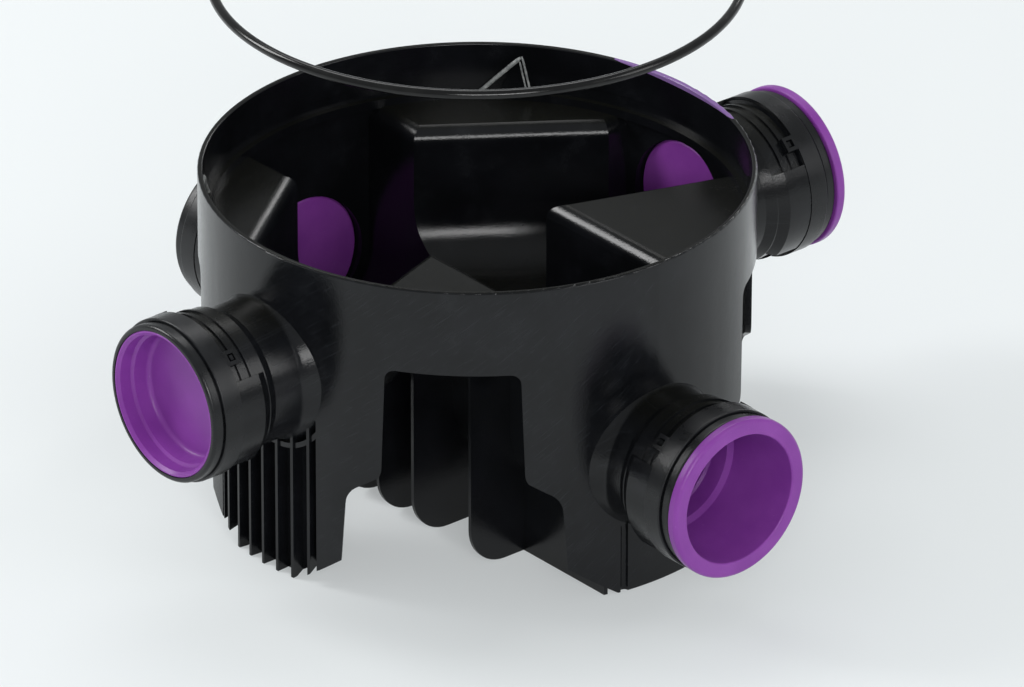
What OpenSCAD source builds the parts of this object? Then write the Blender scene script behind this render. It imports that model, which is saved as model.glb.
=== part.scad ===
// Drain inspection chamber base: one moulding with benched channels, four push-fit pipe sockets,
// their seals, caps and blanking plugs, and the riser's ring seal, lifted clear of the rim.
// Millimetres, +Z up. The origin is on the ground, on the shaft's axis.
// The main run lies along X and flows towards -X. The side inlets come in along Y.

/* [Chamber wall] */
// Outer radius of the chamber wall
body_r = 210; // [205:1:235]
// Thickness of the chamber wall
wall = 4.2; // [3:0.1:5.2]
// Height of the rim above the ground
height = 266; // [262:1:300]
// Rounding of the rim's edges
rim_round = 1.5; // [0.5:0.1:1.5]
// Depth of the riser socket, from the rim to the ledge
riser_depth = 39; // [25:1:41]
// Width of the ledge that stops the riser
ledge_w = 4; // [2:0.5:8]
// Thickness of the ledge, down to the benching
ledge_t = 6; // [3:0.5:8]
// Depth of the seal's seat, the recess round the foot of the riser socket
seat_depth = 0.8; // [0.4:0.1:1.2]

/* [Channels] */
// Height of the main run's axis above the ground
run_z = 106; // [102:1:112]
// Height of the side inlets' axes above the ground
side_z = 166; // [160:1:170]
// Radius of the channels' round bottoms
channel_r = 57; // [55:0.5:59]
// Thickness of the benching and its webs' carrier skin
bench_t = 4; // [3:0.1:5]
// Rounding of the benching's top edges
edge_round = 13; // [8:0.5:16]
// Radius between a side channel's wall and its floor
floor_fillet = 47; // [35:1:55]
// Distance of the downstream guide wall from the shaft's axis
guide_dist = 150; // [146:1:156]
// Direction in which the guide wall lies, from +X
guide_turn = 144.3; // [142:0.1:147]
// Place of the upstream corner along the run
corner_x = 12.6; // [5:0.1:20]
// Angle of the upstream wall to the inlet's axis
flare_turn = 19; // [15:0.5:20]

/* [Feet] */
// Half the angle that a window takes at its top
window_top_turn = 14; // [10:0.5:15]
// Half the angle that a window takes between the feet
window_foot_turn = 23.8; // [20:0.1:25]
// Height of a window's top above the ground
window_z = 197; // [180:1:205]
// Height at which a window starts to widen
window_flare_z = 108; // [95:1:125]
// Height of the chamfer at each foot's corners
foot_chamfer_z = 29; // [15:1:40]
// Half the angle that a foot takes on the ground
foot_turn = 9.5; // [7:0.5:12]
// Thickness of the webs under the channels
web_t = 3; // [2:0.1:4]
// Half the width of a cross web
web_half = 98; // [85:1:110]
// Rounding of a cross web's lower corners
web_round = 33; // [20:1:45]
// Spacing of the three middle cross webs
web_pitch = 41; // [34:1:46]
// Place of the end webs along the run
web_end = 108; // [100:1:120]
// Half the distance between a foot's two long webs
foot_web_half = 45; // [35:1:50]

/* [Flutes] */
// Number of fins on each side foot
fin_count = 7; // [3:2:9]
// Angle from fin to fin
fin_turn = 4.35; // [3:0.05:4.6]
// Thickness of a fin
fin_t = 2.6; // [2:0.1:4]
// Depth of the pocket that the fins stand in
fin_depth = 11; // [6:0.5:16]
// Height of the pocket above the ground
fin_z = 140; // [120:1:150]

/* [Pipe sockets] */
// Radius of the pipes that the sockets take
pipe_r = 55; // [54:0.1:56]
// Radial clearance round a pipe
pipe_gap = 0.4; // [0.3:0.05:0.8]
// Radius of the waterway behind the pipe stop
flow_r = 51.3; // [49:0.1:52]
// Outer radius of the necks
neck_r = 54.6; // [53.5:0.1:56]
// Depth of the pipe stop behind the mouth
stop_depth = 59; // [52:0.5:62]
// Outer radius of the sockets behind their caps
bell_r = 58.8; // [58:0.1:59.5]
// Length of the side inlets' necks, from the shaft's wall to the pipe stop
side_neck = 35; // [29:1:60]
// Length of the main inlet's neck
main_neck = 25; // [21:1:60]
// Length of the outlet's neck
outlet_neck = 19; // [15:1:60]

/* [Caps and seals] */
// Outer radius of a cap
cap_r = 63.8; // [63.2:0.1:66]
// Length of a cap
cap_len = 26; // [24:0.5:28]
// Outer radius of a cap's front lip
lip_r = 61.6; // [60.5:0.1:62]
// Length of that lip
lip_len = 8; // [6:0.5:9]
// Radial clearance between a cap, its seal and the socket
cap_gap = 0.2; // [0.1:0.05:0.3]
// Outer radius of a pipe seal
seal_r = 59; // [58.5:0.1:59.2]
// Length of a pipe seal
seal_len = 7.6; // [6:0.1:8]
// Radius of the riser seal's round section
riser_seal_t = 3.8; // [3:0.1:4.5]
// Outer radius of the riser seal
riser_seal_r = 202.5; // [196:0.5:203]
// Height of the lifted riser seal's middle above the rim
riser_seal_lift = 158; // [100:1:200]

/* [Plugs] */
// Outer radius of a plug's flange
flange_r = 63.5; // [61:0.1:65]
// Thickness of that flange
flange_t = 8.7; // [6:0.1:10]
// Radius of a deep plug's mouth
cup_r = 51.2; // [48:0.1:52]
// Depth at which a flush plug's web starts
web_depth = 27; // [20:0.5:35]
// Wall thickness of the plugs
plug_t = 3; // [2:0.1:3.2]
// Clearance between a plug and what it seats in
plug_gap = 0.3; // [0.2:0.05:0.4]
// How far the plugs' inner ends stay inside the wall's outer face
plug_inset = 4; // [0:0.5:10]

/* [Hidden] */
$fn = 96;

black = [0.13, 0.135, 0.14];
rubber = [0.07, 0.07, 0.07];
purple = [0.43, 0.22, 0.52];

inner_r = body_r - wall;
ledge_z = height - riser_depth;
bench_z = ledge_z - ledge_t;
bore_r = pipe_r + pipe_gap;
side_floor = side_z - channel_r + 1;
lip_z = bench_z - edge_round + 0.4;
span = 3 * body_r;
over = 1;
mark_t = 0.9;

// A socket is [direction, height of its axis, distance of its mouth]
stop_dist = body_r + stop_depth;
main_inlet = [0, run_z, stop_dist + main_neck];
right_inlet = [90, side_z, stop_dist + side_neck];
outlet = [180, run_z, stop_dist + outlet_neck];
left_inlet = [270, side_z, stop_dist + side_neck];
sockets = [main_inlet, right_inlet, outlet, left_inlet];

// Seal groove, counted inwards from the mouth
groove_front = 12;
groove_len = seal_len + 2 * cap_gap;
groove_r = seal_r + cap_gap;
housing_r = groove_r + 2.2;

// Front lip of a cap, and the parts of a plug that seat in it and behind the pipe stop
lip_inset = 3.5;
mouth_r = pipe_r + 1.2;
flush_r = pipe_r + 2.1;
nose_r = flow_r - 2 * plug_gap;
plug_step = -stop_depth + 2 * plug_gap + over;
plug_end = body_r - plug_inset;

// ---------- helpers ----------

// The arc that rounds corner b between a and c with radius r
function arc_at(a, b, c, r, n = 5) =
    let (u = (a - b) / norm(a - b), v = (c - b) / norm(c - b))
    let (half = acos(u * v) / 2, mid = (u + v) / norm(u + v))
    let (centre = b + mid * r / sin(half), p = b + u * r / tan(half) - centre)
    let (q = b + v * r / tan(half) - centre, turn = sign(p[0] * q[1] - p[1] * q[0]) * (180 - 2 * half))
    [for (i = [0 : n])
        let (t = turn * i / n)
        centre + [p[0] * cos(t) - p[1] * sin(t), p[0] * sin(t) + p[1] * cos(t)]];

// Puts its children, drawn round local +Z from the mouth's centre, at a socket
module at_socket(s) {
    rotate([0, 0, s[0]]) translate([s[2], 0, s[1]]) rotate([0, 90, 0]) children();
}

// A ring between two radii, from z0 up to z1
module ring(r_in, r_out, z0, z1) {
    translate([0, 0, z0]) rotate_extrude() translate([r_in, 0]) square([r_out - r_in, z1 - z0]);
}

// Stretches a profile drawn in the X-Z plane along Y
module along_y(len = 2 * span) {
    rotate([90, 0, 0]) linear_extrude(height = len, center = true) children();
}

// ---------- channels: e is how far every surface is offset into the benching ----------

// The flared lip that rounds a benching edge above a wall at x = face
module edge_lip(face, e) {
    difference() {
        translate([face + e - over, lip_z]) square([edge_round - e + over, bench_z + over - lip_z]);
        translate([face + edge_round, lip_z]) circle(r = edge_round - e);
    }
}

// Section of a straight channel with a round bottom
module channel_section(axis_z, e) {
    half = channel_r + e;
    translate([0, axis_z]) circle(r = half);
    translate([-half, axis_z]) square([2 * half, bench_z + over - axis_z]);
    edge_lip(channel_r, e);
    mirror([1, 0]) edge_lip(channel_r, e);
}

// Section of one side of a side channel, with its wall at x = 0
module side_section(e) {
    fillet = floor_fillet + e;
    difference() {
        translate([e - span, side_floor - e]) square([span, bench_z + over - side_floor + e]);
        difference() {
            translate([-floor_fillet, side_floor - e]) square(fillet);
            translate([-floor_fillet, side_floor + floor_fillet]) circle(r = fillet);
        }
    }
    edge_lip(0, e);
}

// One straight wall of a side channel, square to the direction turn and dist from the shaft's axis
module side_wall(turn, dist, e) {
    rotate([0, 0, turn]) translate([dist, 0, 0]) along_y() side_section(e);
}

module side_channel(e) {
    flare_dist = corner_x * cos(flare_turn) - channel_r * sin(flare_turn);
    intersection() {
        side_wall(-flare_turn, flare_dist, e);
        union() {
            side_wall(guide_turn, guide_dist, e);
            translate([0, body_r, 0]) along_y(body_r) channel_section(side_z, e);
        }
        translate([-span, channel_r / 2, 0]) cube([2 * span, body_r, height]);
    }
}

module channels(e) {
    rotate([0, 0, 90]) along_y() channel_section(run_z, e);
    side_channel(e);
    mirror([0, 1, 0]) side_channel(e);
}

// ---------- chamber base ----------

module cross_web(x) {
    translate([x, 0, 0]) rotate([0, 0, 90]) along_y(web_t) {
        translate([-web_half, web_round]) square([2 * web_half, bench_z]);
        translate([web_round - web_half, 0]) square([2 * (web_half - web_round), bench_z]);
        for (side = [-1, 1])
            translate([side * (web_half - web_round), web_round]) circle(r = web_round);
    }
}

module webs() {
    for (i = [-1 : 1]) cross_web(i * web_pitch);
    for (end = [-1, 1]) {
        cross_web(end * web_end);
        for (side = [-1, 1])
            translate([end > 0 ? web_end : -body_r, side * foot_web_half - web_t / 2, 0])
                cube([body_r - web_end, web_t, bench_z]);
    }
}

// The benching as a solid block with every surface offset inwards by e
module bench_block(r, e) {
    difference() {
        cylinder(r = r, h = bench_z - e);
        channels(e);
    }
}

// Benching: a skin over the channels, open underneath and stiffened by webs
module benching() {
    difference() {
        bench_block(inner_r + wall / 2, 0);
        difference() {
            translate([0, 0, -over]) bench_block(body_r + wall, bench_t - over);
            webs();
        }
    }
}

module wall_section() {
    difference() {
        translate([inner_r, 0]) square([wall, height - rim_round]);
        translate([inner_r - over, ledge_z]) square([seat_depth + over, 2 * riser_seal_t + 2.4]);
    }
    translate([inner_r + rim_round, 0]) square([wall - 2 * rim_round, height]);
    for (x = [inner_r + rim_round, body_r - rim_round])
        translate([x, height - rim_round]) circle(r = rim_round, $fn = 32);
    translate([inner_r - ledge_w, bench_z - over]) square([ledge_w + over, ledge_t + over]);
}

// Half of a window's outline, from its top middle down to the ground
function window_half() =
    let (top = body_r * sin(window_top_turn), foot = body_r * sin(window_foot_turn))
    let (ground = body_r * sin(45 - foot_turn), drop = 0.35 * window_flare_z)
    concat(
        arc_at([0, window_z], [top, window_z], [top + 1, window_flare_z], 8),
        arc_at([top, window_z], [top + 3, window_flare_z], [foot - 3, window_flare_z - drop], 14),
        arc_at([top + 3, window_flare_z], [foot - 4, window_flare_z - 0.55 * drop], [foot, foot_chamfer_z], 20),
        [[foot, foot_chamfer_z], [ground, -over], [0, -over]]);

module window() {
    half = window_half();
    other = [for (i = [len(half) - 2 : -1 : 0]) [-half[i][0], half[i][1]]];
    translate([0, body_r * 0.78, 0]) along_y(body_r / 2) polygon(concat(half, other));
}

// Recessed and finned wall of a side foot, centred on +X
module fluted_wall() {
    half = (fin_count / 2 + 0.1) * fin_turn;
    floor_r = body_r - fin_depth;
    rotate([0, 0, -half]) rotate_extrude(angle = 2 * half) {
        translate([floor_r - wall, 0]) square([wall, fin_z + wall]);
        translate([floor_r - wall, fin_z]) square([fin_depth + wall, wall]);
    }
    for (side = [-1, 1])
        rotate([0, 0, side * half]) translate([floor_r - wall, -wall / 2, 0])
            cube([fin_depth + wall - 0.4, wall, fin_z + wall]);
    for (i = [0 : fin_count - 1])
        rotate([0, 0, (i - (fin_count - 1) / 2) * fin_turn])
            translate([floor_r - over, -fin_t / 2, 0]) cube([fin_depth + over - 0.4, fin_t, fin_z]);
}

module fluted_pocket() {
    half = (fin_count / 2 + 0.1) * fin_turn;
    translate([0, 0, -over]) rotate([0, 0, -half]) rotate_extrude(angle = 2 * half)
        translate([inner_r - over, 0]) square([wall + 3 * over, fin_z + over]);
}

// Upright grooves at the corners of the main run's feet
module foot_groove(turn) {
    rotate([0, 0, turn]) translate([body_r, 0, -over]) cylinder(r = 3.2, h = 58, $fn = 48);
}

module skirt() {
    difference() {
        union() {
            difference() {
                rotate_extrude() wall_section();
                for (turn = [90, 270]) rotate([0, 0, turn]) fluted_pocket();
            }
            for (turn = [90, 270]) rotate([0, 0, turn]) fluted_wall();
        }
        for (turn = [-45 : 90 : 225]) rotate([0, 0, turn]) window();
        for (turn = [-8.5, 8.5, 171.5, 188.5]) foot_groove(turn);
    }
}

// Solid outside of a socket; local +Z points out and the mouth is at 0
module socket_outside(reach) {
    flare = reach - body_r;
    rotate_extrude() polygon(concat(
        [[0, 30 - reach], [neck_r + 9, 30 - reach], [neck_r + 9, -flare - 16]],
        arc_at([neck_r + 9, -flare - 16], [neck_r, 3 - flare], [neck_r, 12 - flare], 12),
        [[neck_r, -stop_depth - 5], [bell_r, -stop_depth + 3], [bell_r, -cap_len - 1.5],
         [housing_r, -cap_len - 0.5], [housing_r, -groove_front], [0, -groove_front]]));
    for (z = [-36, -45]) ring(bell_r - over, bell_r + 1.5, z, z + 2.4);
}

// Pads beside a socket, level with its cap, and the nubs that its cap latches on
module socket_pads() {
    for (side = [0, 1]) mirror([0, side, 0]) {
        rotate([0, 0, 48]) rotate_extrude(angle = 72)
            polygon([[bell_r - 2, -stop_depth + 4], [bell_r, -stop_depth + 4], [cap_r - 0.5, -stop_depth + 12],
                     [cap_r - 0.5, -cap_len - 0.3], [bell_r - 2, -cap_len - 0.3]]);
        rotate([0, 0, 137]) translate([bell_r - over, -2, -33]) cube([cap_r - bell_r, 4, 3]);
    }
}

module socket_bores(s) {
    reach = s[2];
    at_socket(s) {
        translate([0, 0, inner_r - 22 - reach]) cylinder(r = flow_r, h = reach - inner_r + 22);
        translate([0, 0, -stop_depth]) cylinder(r = bore_r, h = stop_depth);
        translate([0, 0, -groove_front - groove_len]) cylinder(r = groove_r, h = groove_len + over);
    }
}

// Raised three-cornered mark on the wall above each downstream block
module wall_mark() {
    rotate([0, 0, 132.5]) intersection() {
        translate([inner_r - 6, 0, bench_z]) rotate([90, 0, 90]) linear_extrude(height = 8)
            polygon([[-25, -1], [-2, 32], [13, -1]]);
        ring(inner_r - mark_t, body_r - over, bench_z - 2 * over, height - 2);
    }
}

module chamber_base() {
    color(black) difference() {
        union() {
            skirt();
            benching();
            wall_mark();
            mirror([0, 1, 0]) wall_mark();
            difference() {
                for (s = sockets) at_socket(s) {
                    socket_outside(s[2]);
                    socket_pads();
                }
                cylinder(r = inner_r, h = height);
            }
        }
        for (s = sockets) socket_bores(s);
    }
}

// ---------- caps, seals and plugs, drawn from the mouth's centre, local +Z out ----------

module riser_seal() {
    color(rubber) translate([0, 0, height + riser_seal_lift]) rotate_extrude()
        translate([riser_seal_r - riser_seal_t, 0]) circle(r = riser_seal_t);
}

module pipe_seal() {
    z0 = -groove_front - groove_len + cap_gap;
    inside = pipe_r + plug_gap;
    color(rubber) rotate_extrude() polygon([
        [seal_r, z0], [seal_r, z0 + seal_len], [seal_r - 2, z0 + seal_len], [inside + 1.2, z0 + seal_len * 0.5],
        [inside, z0 + seal_len * 0.3], [inside, z0 + seal_len * 0.1], [inside + 1, z0]]);
}

module cap() {
    skirt_r = housing_r + cap_gap;
    color(black) {
        rotate_extrude() polygon(concat(
            [[mouth_r, -groove_front + cap_gap], [mouth_r, -lip_inset],
             [mouth_r + 1.2, -lip_inset], [mouth_r + 1.2, 0]],
            arc_at([mouth_r + 1.2, 0], [lip_r, 0], [lip_r, -lip_len], 2.8),
            [[lip_r, -lip_len], [lip_r - 1, -lip_len - 0.4], [lip_r - 1, -lip_len - 1.6]],
            arc_at([lip_r - 1, -lip_len - 1.6], [cap_r, -lip_len - 1.6], [cap_r, -cap_len], 1.2),
            [[cap_r, -cap_len], [skirt_r, -cap_len], [skirt_r, -groove_front + cap_gap]]));
        for (side = [0, 1]) mirror([0, side, 0]) cap_latch();
    }
}

// Latch of a cap: a small frame that reaches back over the socket's nub
module cap_latch() {
    inside = bell_r + 1.9;
    root = housing_r + 3 * cap_gap;
    rotate([0, 0, 137]) difference() {
        translate([inside, -6, -cap_len - 10]) cube([cap_r - inside, 12, 11]);
        translate([inside - over, -3, -cap_len - 7.5]) cube([cap_r, 6, 5.5]);
        translate([inside - over, -7, -cap_len - 1.8]) cube([root - inside + over, 14, 4]);
    }
}

// Inner radii of a deep plug, from its mouth back to its closed end, level with the chamber's wall
function deep_cup(end, step) =
    let (deep_r = nose_r - plug_t - 1.5)
    [[cup_r, step], [deep_r, step - 2], [deep_r, step - 17], [deep_r - 2, step - 18.5],
     [deep_r - 2, end + plug_t + 2], [deep_r - 4, end + plug_t], [0, end + plug_t]];

// Deep plug with a flange that closes against its cap
module flanged_plug(s) {
    end = plug_end - s[2];
    front = flange_t + plug_gap;
    color(purple) rotate_extrude() polygon(concat(
        [[0, end], [nose_r - 1.5, end], [nose_r, end + 1.5], [nose_r, plug_step - over],
         [pipe_r, plug_step + 2], [pipe_r, plug_gap]],
        arc_at([pipe_r, plug_gap], [flange_r, plug_gap], [flange_r, front], 1.5),
        arc_at([flange_r, plug_gap], [flange_r, front], [cup_r, front], 3.2),
        arc_at([flange_r, front], [cup_r, front], [cup_r, 0], 1.5),
        deep_cup(end, plug_step)));
}

// Outside of a plug that sits flush in its cap, from its inner end round the rim of its mouth
function flush_outside(end, closed) =
    concat(closed ? [[0, end], [nose_r - 1.5, end], [nose_r, end + 1.5]] : [[nose_r - plug_t, end], [nose_r, end]],
        [[nose_r, plug_step - over], [pipe_r, plug_step + 2], [pipe_r, -lip_inset + plug_gap],
         [flush_r, -lip_inset + plug_gap], [flush_r, -0.8], [flush_r - 0.5, -plug_gap],
         [pipe_r + 0.7, -plug_gap], [pipe_r - 1.6, -2.6], [pipe_r - 2, -12]]);

// Flush plug with a deep, closed cup
module flush_cup_plug(s) {
    end = plug_end - s[2];
    color(purple) rotate_extrude() polygon(concat(
        flush_outside(end, true), [[cup_r, -13.5]], deep_cup(end, plug_step)));
}

// Flush plug with a web near its mouth, and a sleeve back to the chamber's wall
module flush_web_plug(s) {
    recess_r = pipe_r - plug_t - 1.5;
    back = -web_depth - plug_t;
    color(purple) rotate_extrude() polygon(concat(
        [[0, back], [nose_r - plug_t, back]],
        flush_outside(plug_end - s[2], false),
        [[recess_r, -13.5]],
        arc_at([recess_r, -13.5], [recess_r - 1, -web_depth], [0, -web_depth], 4),
        [[0, -web_depth]]));
}

chamber_base();
riser_seal();
at_socket(main_inlet) pipe_seal();  // main_inlet_seal
at_socket(main_inlet) cap();  // main_inlet_cap
at_socket(main_inlet) flanged_plug(main_inlet);  // main_inlet_plug
at_socket(right_inlet) pipe_seal();  // right_inlet_seal
at_socket(right_inlet) cap();  // right_inlet_cap
at_socket(right_inlet) flanged_plug(right_inlet);  // right_inlet_plug
at_socket(outlet) pipe_seal();  // outlet_seal
at_socket(outlet) cap();  // outlet_cap
at_socket(outlet) flush_cup_plug(outlet);  // outlet_plug
at_socket(left_inlet) pipe_seal();  // left_inlet_seal
at_socket(left_inlet) cap();  // left_inlet_cap
at_socket(left_inlet) flush_web_plug(left_inlet);  // left_inlet_plug
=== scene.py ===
"""Looks for the drain inspection chamber: materials, mark ribs, studio light and camera."""

import math

import bpy
from mathutils import Matrix, Vector


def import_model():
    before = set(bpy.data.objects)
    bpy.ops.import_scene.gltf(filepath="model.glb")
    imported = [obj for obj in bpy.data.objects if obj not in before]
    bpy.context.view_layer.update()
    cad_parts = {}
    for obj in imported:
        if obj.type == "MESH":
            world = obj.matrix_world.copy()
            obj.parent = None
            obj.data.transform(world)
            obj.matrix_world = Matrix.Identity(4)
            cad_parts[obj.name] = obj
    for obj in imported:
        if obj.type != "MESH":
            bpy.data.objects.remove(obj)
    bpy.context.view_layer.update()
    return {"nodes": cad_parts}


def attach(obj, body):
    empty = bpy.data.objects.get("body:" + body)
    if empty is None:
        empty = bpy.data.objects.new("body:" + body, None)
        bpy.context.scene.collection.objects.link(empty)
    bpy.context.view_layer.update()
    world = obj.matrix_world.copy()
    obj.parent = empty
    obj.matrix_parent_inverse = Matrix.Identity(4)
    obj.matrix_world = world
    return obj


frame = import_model()

# Sizes of the part, as its source has them, in metres
MM = 0.001
RIM_Z = 0.266
BENCH_Z = 0.221
BODY_R = 0.210
INNER_R = 0.2058
SOCKETS = ("main_inlet", "right_inlet", "outlet", "left_inlet")


# ---------- node helpers ----------


class Net:
    """A material's node tree, with one short call for each kind of node."""

    def __init__(self, name):
        self.material = bpy.data.materials.new(name)
        self.material.use_nodes = True
        self.tree = self.material.node_tree
        self.shader = self.tree.nodes["Principled BSDF"]
        self.coords = self.add("ShaderNodeTexCoord").outputs["Object"]

    def add(self, kind, **settings):
        node = self.tree.nodes.new(kind)
        for key, value in settings.items():
            setattr(node, key, value)
        return node

    def link(self, value, socket):
        if isinstance(value, bpy.types.NodeSocket):
            self.tree.links.new(value, socket)
        else:
            socket.default_value = value

    def set(self, name, value):
        """Links or sets one input of the shader."""
        self.link(value, self.shader.inputs[name])

    def math(self, operation, a, b=0.0, clamp=False):
        node = self.add("ShaderNodeMath", operation=operation, use_clamp=clamp)
        self.link(a, node.inputs[0])
        self.link(b, node.inputs[1])
        return node.outputs[0]

    def plus(self, a, b):
        return self.math("ADD", a, b)

    def minus(self, a, b):
        return self.math("SUBTRACT", a, b)

    def times(self, a, b):
        return self.math("MULTIPLY", a, b)

    def noise(self, scale, detail=3.0, rough=0.5, coords=None):
        node = self.add("ShaderNodeTexNoise")
        node.inputs["Scale"].default_value = scale
        node.inputs["Detail"].default_value = detail
        node.inputs["Roughness"].default_value = rough
        self.link(self.coords if coords is None else coords, node.inputs["Vector"])
        return node.outputs["Fac"]

    def span(self, value, low, high, to_low=0.0, to_high=1.0):
        """Maps low to high onto to_low to to_high, smoothly and held at the ends."""
        node = self.add("ShaderNodeMapRange")
        node.interpolation_type = "SMOOTHSTEP"
        self.link(value, node.inputs["Value"])
        for key, number in zip(
            ("From Min", "From Max", "To Min", "To Max"), (low, high, to_low, to_high)
        ):
            node.inputs[key].default_value = number
        return node.outputs["Result"]

    def mix(self, fac, a, b):
        node = self.add("ShaderNodeMix", data_type="RGBA")
        self.link(fac, node.inputs["Factor"])
        self.link(a, node.inputs["A"])
        self.link(b, node.inputs["B"])
        return node.outputs["Result"]

    def xyz(self, vector=None):
        node = self.add("ShaderNodeSeparateXYZ")
        self.link(self.coords if vector is None else vector, node.inputs[0])
        return node.outputs

    def vector(self, x, y, z=0.0):
        node = self.add("ShaderNodeCombineXYZ")
        for value, socket in zip((x, y, z), node.inputs):
            self.link(value, socket)
        return node.outputs["Vector"]

    def bump(self, height, distance, strength):
        node = self.add("ShaderNodeBump")
        node.inputs["Distance"].default_value = distance
        node.inputs["Strength"].default_value = strength
        self.link(height, node.inputs["Height"])
        self.set("Normal", node.outputs["Normal"])

    def normal_z(self):
        return self.xyz(self.add("ShaderNodeNewGeometry").outputs["Normal"])[2]


def rgb(r, g, b):
    """A colour given in display values from 0 to 255."""

    def linear(value):
        value /= 255
        return value / 12.92 if value <= 0.04045 else ((value + 0.055) / 1.055) ** 2.4

    return (linear(r), linear(g), linear(b), 1.0)


# ---------- materials ----------

# The painted lilac reflection under the rim, as from the right inlet's purple plug: where its
# middle and ends are round the wall, and its depth there
PAINTED_REFLECTION_TURN = math.radians(91)
PAINTED_REFLECTION_HALF_TURN = math.radians(19)
PAINTED_REFLECTION_DEPTH = 4.2 * MM

# The scuffs' lean on the wall as cosine and sine, and their noise's scale along and across them
LEAN_COS, LEAN_SIN = 0.78, 0.62
SCUFF_ALONG, SCUFF_ACROSS = 45, 620


def chamber_plastic():
    net = Net("chamber_plastic")
    up = net.normal_z()
    x, y, z = net.xyz()

    # Fine moulded grain, slow swirls of the melt, cloudy patches and fine dust
    grain = net.noise(900, 2)
    melt = net.noise(14, 4, 0.55)
    patches = net.noise(38, 5, 0.65)
    fine = net.noise(420, 3, 0.6)

    # Scuffs that climb round the wall, mostly outside, and stop short of the rim's narrow edge
    turn = net.math("ARCTAN2", y, x)
    round_wall = net.times(turn, BODY_R)
    along = net.plus(net.times(round_wall, LEAN_COS), net.times(z, LEAN_SIN))
    across = net.minus(net.times(z, LEAN_COS), net.times(round_wall, LEAN_SIN))
    stretched = net.vector(net.times(along, SCUFF_ALONG), net.times(across, SCUFF_ACROSS))
    radius = net.math("SQRT", net.plus(net.times(x, x), net.times(y, y)))
    outside = net.span(radius, BODY_R - 4 * MM, BODY_R - 2 * MM, 0.3, 1.0)
    below_rim = net.span(z, RIM_Z - 4 * MM, RIM_Z - 2 * MM, 1.0, 0.0)
    scuffs = net.times(net.noise(1, 4, 0.6, stretched), net.times(outside, below_rim))

    # Dust that has settled on what faces up
    dust = net.times(net.span(up, 0.7, 1.0), net.span(fine, 0.25, 0.8, 0.25, 0.75))

    # Painted lilac reflection under the rim over the right side inlet, as from the purple plug
    # there, widest in its middle
    swing = net.math("DIVIDE", net.minus(turn, PAINTED_REFLECTION_TURN), PAINTED_REFLECTION_HALF_TURN)
    depth = net.times(net.minus(1.0, net.times(swing, swing)), PAINTED_REFLECTION_DEPTH)
    painted_reflection = net.math("GREATER_THAN", net.plus(z, depth), RIM_Z)

    colour = net.mix(net.span(melt, 0.35, 0.7), rgb(12, 13, 15), rgb(19, 20, 23))
    colour = net.mix(net.span(patches, 0.5, 0.85, 0, 0.25), colour, rgb(46, 48, 52))
    colour = net.mix(net.span(scuffs, 0.5, 0.78, 0, 0.4), colour, rgb(42, 44, 48))
    colour = net.mix(dust, colour, rgb(24, 24, 18))
    # Mixes in the painted lilac reflection of the purple plug
    colour = net.mix(net.times(painted_reflection, 0.8), colour, rgb(142, 108, 170))
    net.set("Base Color", colour)

    rough = net.plus(
        net.span(melt, 0.3, 0.7, 0.11, 0.17), net.span(patches, 0.45, 0.85, 0, 0.08)
    )
    rough = net.plus(rough, net.span(scuffs, 0.4, 0.8, 0, 0.06))
    net.set("Roughness", net.plus(rough, net.times(dust, 0.14)))
    net.set("Specular IOR Level", net.span(up, 0.7, 1.0, 0.3, 0.12))
    height = net.plus(net.plus(net.times(grain, 0.3), melt), net.times(scuffs, 0.18))
    net.bump(height, 0.7 * MM, 0.5)
    return net.material


def painted_highlight_plastic():
    """The ribs' plastic painted pale: a painted highlight, as their thin edges catch the light."""
    net = Net("painted_highlight_plastic")
    mottle = net.noise(260, 4, 0.6)
    # Pale colour: a painted highlight along the ribs, mottled
    net.set("Base Color", net.mix(net.span(mottle, 0.3, 0.7), rgb(120, 123, 123), rgb(166, 168, 166)))
    net.set("Roughness", net.span(mottle, 0.3, 0.7, 0.2, 0.3))
    net.set("Specular IOR Level", 0.4)
    net.bump(mottle, 0.2 * MM, 0.4)
    return net.material


def cap_plastic():
    net = Net("cap_plastic")
    grain = net.noise(1100, 2)
    patches = net.noise(40, 4, 0.6)
    net.set("Base Color", net.mix(net.span(patches, 0.35, 0.7), rgb(13, 14, 16), rgb(22, 23, 26)))
    net.set("Roughness", net.span(patches, 0.3, 0.7, 0.24, 0.36))
    net.set("Specular IOR Level", 0.34)
    net.bump(net.plus(net.times(grain, 0.4), patches), 0.3 * MM, 0.5)
    return net.material


def plug_plastic():
    net = Net("plug_plastic")
    cloud = net.noise(26, 4, 0.55)
    grain = net.noise(1300, 2)
    specks = net.noise(700, 2, 0.5)
    colour = net.mix(net.span(cloud, 0.3, 0.72), rgb(127, 57, 149), rgb(138, 67, 160))
    colour = net.mix(net.span(specks, 0.68, 0.8, 0, 0.3), colour, rgb(176, 130, 196))
    net.set("Base Color", colour)
    net.set("Roughness", net.span(cloud, 0.3, 0.7, 0.30, 0.40))
    net.set("Specular IOR Level", 0.3)
    net.set("Subsurface Weight", 0.12)
    net.set("Subsurface Radius", (1.0, 0.4, 1.0))
    net.set("Subsurface Scale", 2 * MM)
    net.bump(net.plus(net.times(grain, 0.3), cloud), 0.3 * MM, 0.5)
    return net.material


def seal_rubber(name, shade, rough):
    net = Net(name)
    bloom = net.noise(60, 4, 0.6)
    grain = net.noise(1500, 2)
    low = rgb(shade, shade, shade + 1)
    high = rgb(shade + 10, shade + 10, shade + 9)
    net.set("Base Color", net.mix(net.span(bloom, 0.4, 0.75), low, high))
    net.set("Roughness", net.span(bloom, 0.3, 0.7, rough, rough + 0.12))
    net.set("Specular IOR Level", 0.36)
    net.bump(grain, 0.1 * MM, 0.4)
    return net.material


def dress(node, material):
    slots = frame["nodes"][node].material_slots
    if not slots:
        frame["nodes"][node].data.materials.append(material)
    for slot in slots:
        slot.material = material


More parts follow.
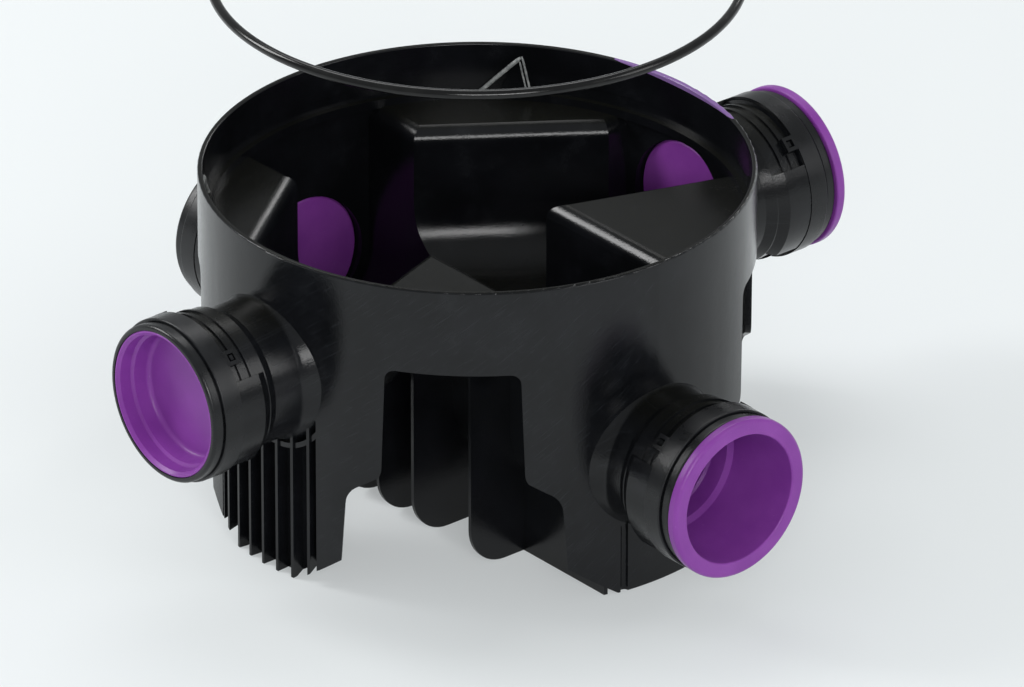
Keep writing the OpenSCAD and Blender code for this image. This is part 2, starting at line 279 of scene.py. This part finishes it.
def dress_all():
    dress("chamber_base", chamber_plastic())
    dress("riser_seal", seal_rubber("riser_seal_rubber", 8, 0.08))
    cap_look, plug_look = cap_plastic(), plug_plastic()
    seal_look = seal_rubber("pipe_seal_rubber", 16, 0.45)
    for socket in SOCKETS:
        dress(socket + "_cap", cap_look)
        dress(socket + "_plug", plug_look)
        dress(socket + "_seal", seal_look)


dress_all()


# ---------- ribs that outline the three-cornered marks ----------

# Round ribs, sunk nearly half-way into the wall, round a mark whose middle is at this turn
MARK_TURN = math.radians(132.5)
MARK_R = INNER_R - 0.6 * MM
# Each rib's two ends, in mm across the wall and above the benching, and its radius in mm
MARK_LINES = (
    ((28.0, 2.0), (-5.8, 34.4), 1.7),
    ((-6.8, 35.4), (-14.5, 2.0), 0.9),
    ((-5.0, 31.0), (-11.4, 2.0), 0.8),
)
RIB_STEPS, RIB_SIDES = 12, 10
RIB_END_SHARE = 0.55


def rib_line(start, end):
    """The points of a rib's middle line, bent to the wall."""
    points = []
    for i in range(RIB_STEPS + 1):
        across, above = ((a + (b - a) * i / RIB_STEPS) * MM for a, b in zip(start, end))
        spot = Vector((math.sqrt(MARK_R**2 - across**2), across, BENCH_Z + above))
        points.append(Matrix.Rotation(MARK_TURN, 3, "Z") @ spot)
    return points


def mark_rib(side, look):
    """The ribs of one mark as one piece, on the side side * Y."""
    verts, faces = [], []
    for start, end, radius in MARK_LINES:
        points = rib_line(start, end)
        first = len(verts)
        for i, spot in enumerate(points):
            ahead = (points[min(i + 1, RIB_STEPS)] - points[max(i - 1, 0)]).normalized()
            inward = -Vector((spot.x, spot.y, 0)).normalized()
            level = ahead.cross(inward).normalized()
            reach = radius * MM * (RIB_END_SHARE if i in (0, RIB_STEPS) else 1.0)
            for k in range(RIB_SIDES):
                swing = 2 * math.pi * k / RIB_SIDES
                verts.append(spot + reach * (math.cos(swing) * inward + math.sin(swing) * level))
        for i in range(RIB_STEPS):
            for k in range(RIB_SIDES):
                a = first + i * RIB_SIDES + k
                b = first + i * RIB_SIDES + (k + 1) % RIB_SIDES
                faces.append((a, b, b + RIB_SIDES, a + RIB_SIDES))
        faces.append(tuple(first + k for k in reversed(range(RIB_SIDES))))
        faces.append(tuple(len(verts) - RIB_SIDES + k for k in range(RIB_SIDES)))
    if side < 0:
        verts = [Vector((v.x, -v.y, v.z)) for v in verts]
        faces = [face[::-1] for face in faces]
    name = "wall_mark_rib_" + ("right" if side > 0 else "left")
    mesh = bpy.data.meshes.new(name)
    mesh.from_pydata(verts, [], faces)
    mesh.polygons.foreach_set("use_smooth", [True] * len(mesh.polygons))
    mesh.materials.append(look)
    obj = bpy.data.objects.new(name, mesh)
    bpy.context.collection.objects.link(obj)
    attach(obj, "chamber")


# The ribs take the pale plastic with the painted highlight
rib_look = painted_highlight_plastic()
for side in (1, -1):
    mark_rib(side, rib_look)


# ---------- floor and world ----------

PAPER = rgb(234, 238, 239)
FLOOR_HALF = 14.0
FLOOR_Z = -0.5 * MM
# How much of the paper's look in view is its own pale tone, so that shadows on it stay light
PAPER_GLOW = 0.42
# How strongly the pale room lights the object, where in view it is 1
ROOM_LIGHT = 0.5


def floor():
    mesh = bpy.data.meshes.new("floor")
    half = FLOOR_HALF
    mesh.from_pydata(
        [(-half, -half, 0), (half, -half, 0), (half, half, 0), (-half, half, 0)], [], [(0, 1, 2, 3)]
    )
    obj = bpy.data.objects.new("floor", mesh)
    obj.location.z = FLOOR_Z
    bpy.context.collection.objects.link(obj)
    look = Net("floor_paper")
    look.set("Base Color", PAPER)
    look.set("Roughness", 0.9)
    look.set("Specular IOR Level", 0.1)
    path = look.add("ShaderNodeLightPath").outputs
    seen = look.math("ADD", path["Is Camera Ray"], path["Is Glossy Ray"], clamp=True)
    seen = look.math("ADD", seen, path["Is Transmission Ray"], clamp=True)
    glow = look.add("ShaderNodeEmission")
    glow.inputs["Color"].default_value = PAPER
    mixed = look.add("ShaderNodeMixShader")
    look.link(look.times(seen, PAPER_GLOW), mixed.inputs[0])
    look.link(look.shader.outputs[0], mixed.inputs[1])
    look.link(glow.outputs[0], mixed.inputs[2])
    look.link(mixed.outputs[0], look.tree.nodes["Material Output"].inputs["Surface"])
    mesh.materials.append(look.material)


def world():
    scene_world = bpy.data.worlds.new("studio")
    bpy.context.scene.world = scene_world
    scene_world.use_nodes = True
    tree = scene_world.node_tree
    back = tree.nodes["Background"]
    back.inputs["Color"].default_value = rgb(236, 240, 242)
    path = tree.nodes.new("ShaderNodeLightPath")
    level = tree.nodes.new("ShaderNodeMapRange")
    level.inputs["To Min"].default_value = ROOM_LIGHT
    level.inputs["To Max"].default_value = 1.0
    tree.links.new(path.outputs["Is Camera Ray"], level.inputs["Value"])
    tree.links.new(level.outputs["Result"], back.inputs["Strength"])


# ---------- camera ----------

# The picture's view: its right, forward and up, through a long lens that is nearly parallel
RIGHT = Vector((0.6428, 0.7660, 0.0))
FORWARD = Vector((-0.6798, 0.5704, -0.4610))
UP = RIGHT.cross(FORWARD)
FOCAL_PX = 15000.0
WIDTH_PX, HEIGHT_PX = 1024, 687
SENSOR_MM = 36.0
CLIP_END = 60.0
# Where the rim's centre falls in the picture, and half the rim's width there
RIM_PX = (477.8, 165.4)
RIM_HALF_PX = 280.3


def camera():
    far = FOCAL_PX / RIM_HALF_PX * BODY_R
    across = (RIM_PX[0] - WIDTH_PX / 2) / FOCAL_PX * far
    above = (HEIGHT_PX / 2 - RIM_PX[1]) / FOCAL_PX * far
    spot = Vector((0, 0, RIM_Z)) - across * RIGHT - above * UP - far * FORWARD
    data = bpy.data.cameras.new("camera")
    data.sensor_width = SENSOR_MM
    data.lens = FOCAL_PX * SENSOR_MM / WIDTH_PX
    data.clip_end = CLIP_END
    obj = bpy.data.objects.new("camera", data)
    axes = Matrix((RIGHT, UP, -FORWARD)).transposed()
    obj.matrix_world = Matrix.Translation(spot) @ axes.to_4x4()
    bpy.context.collection.objects.link(obj)
    bpy.context.scene.camera = obj


# ---------- lights ----------

AIM = (0, 0, 0.14)
# Level, and straight away from the camera
AWAY = Vector((-0.7660, 0.6428, 0))
# Each softbox's name, its turn, lift and distance, its width and height, and its power
SOFTBOXES = (
    ("left_softbox", (168, 36, 3.0), (0.8, 1.4), 42),
    ("back_softbox", (100, 62, 3.2), (2.0, 1.2), 26),
    ("back_right_softbox", (62, 25, 3.2), (0.7, 0.7), 9),
    ("front_softbox", (278, 27, 3.2), (1.5, 0.8), 35),
    ("right_softbox", (-20, 30, 3.2), (1.0, 1.6), 14),
)


def around(turn, lift, far):
    """A point by its turn round the object, counted from the camera's right, and its lift."""
    turn, lift = math.radians(turn), math.radians(lift)
    side = math.cos(turn) * RIGHT + math.sin(turn) * AWAY
    return far * (math.cos(lift) * side + math.sin(lift) * Vector((0, 0, 1)))


def softbox(name, spot, size, power):
    data = bpy.data.lights.new(name, "AREA")
    data.shape = "RECTANGLE"
    data.size, data.size_y = size
    data.energy = power
    obj = bpy.data.objects.new(name, data)
    obj.location = spot
    obj.rotation_euler = (Vector(AIM) - spot).to_track_quat("-Z", "Y").to_euler()
    bpy.context.collection.objects.link(obj)


floor()
world()
camera()
for name, place, size, power in SOFTBOXES:
    softbox(name, around(*place), size, power)

bpy.context.scene.view_settings.view_transform = "Standard"
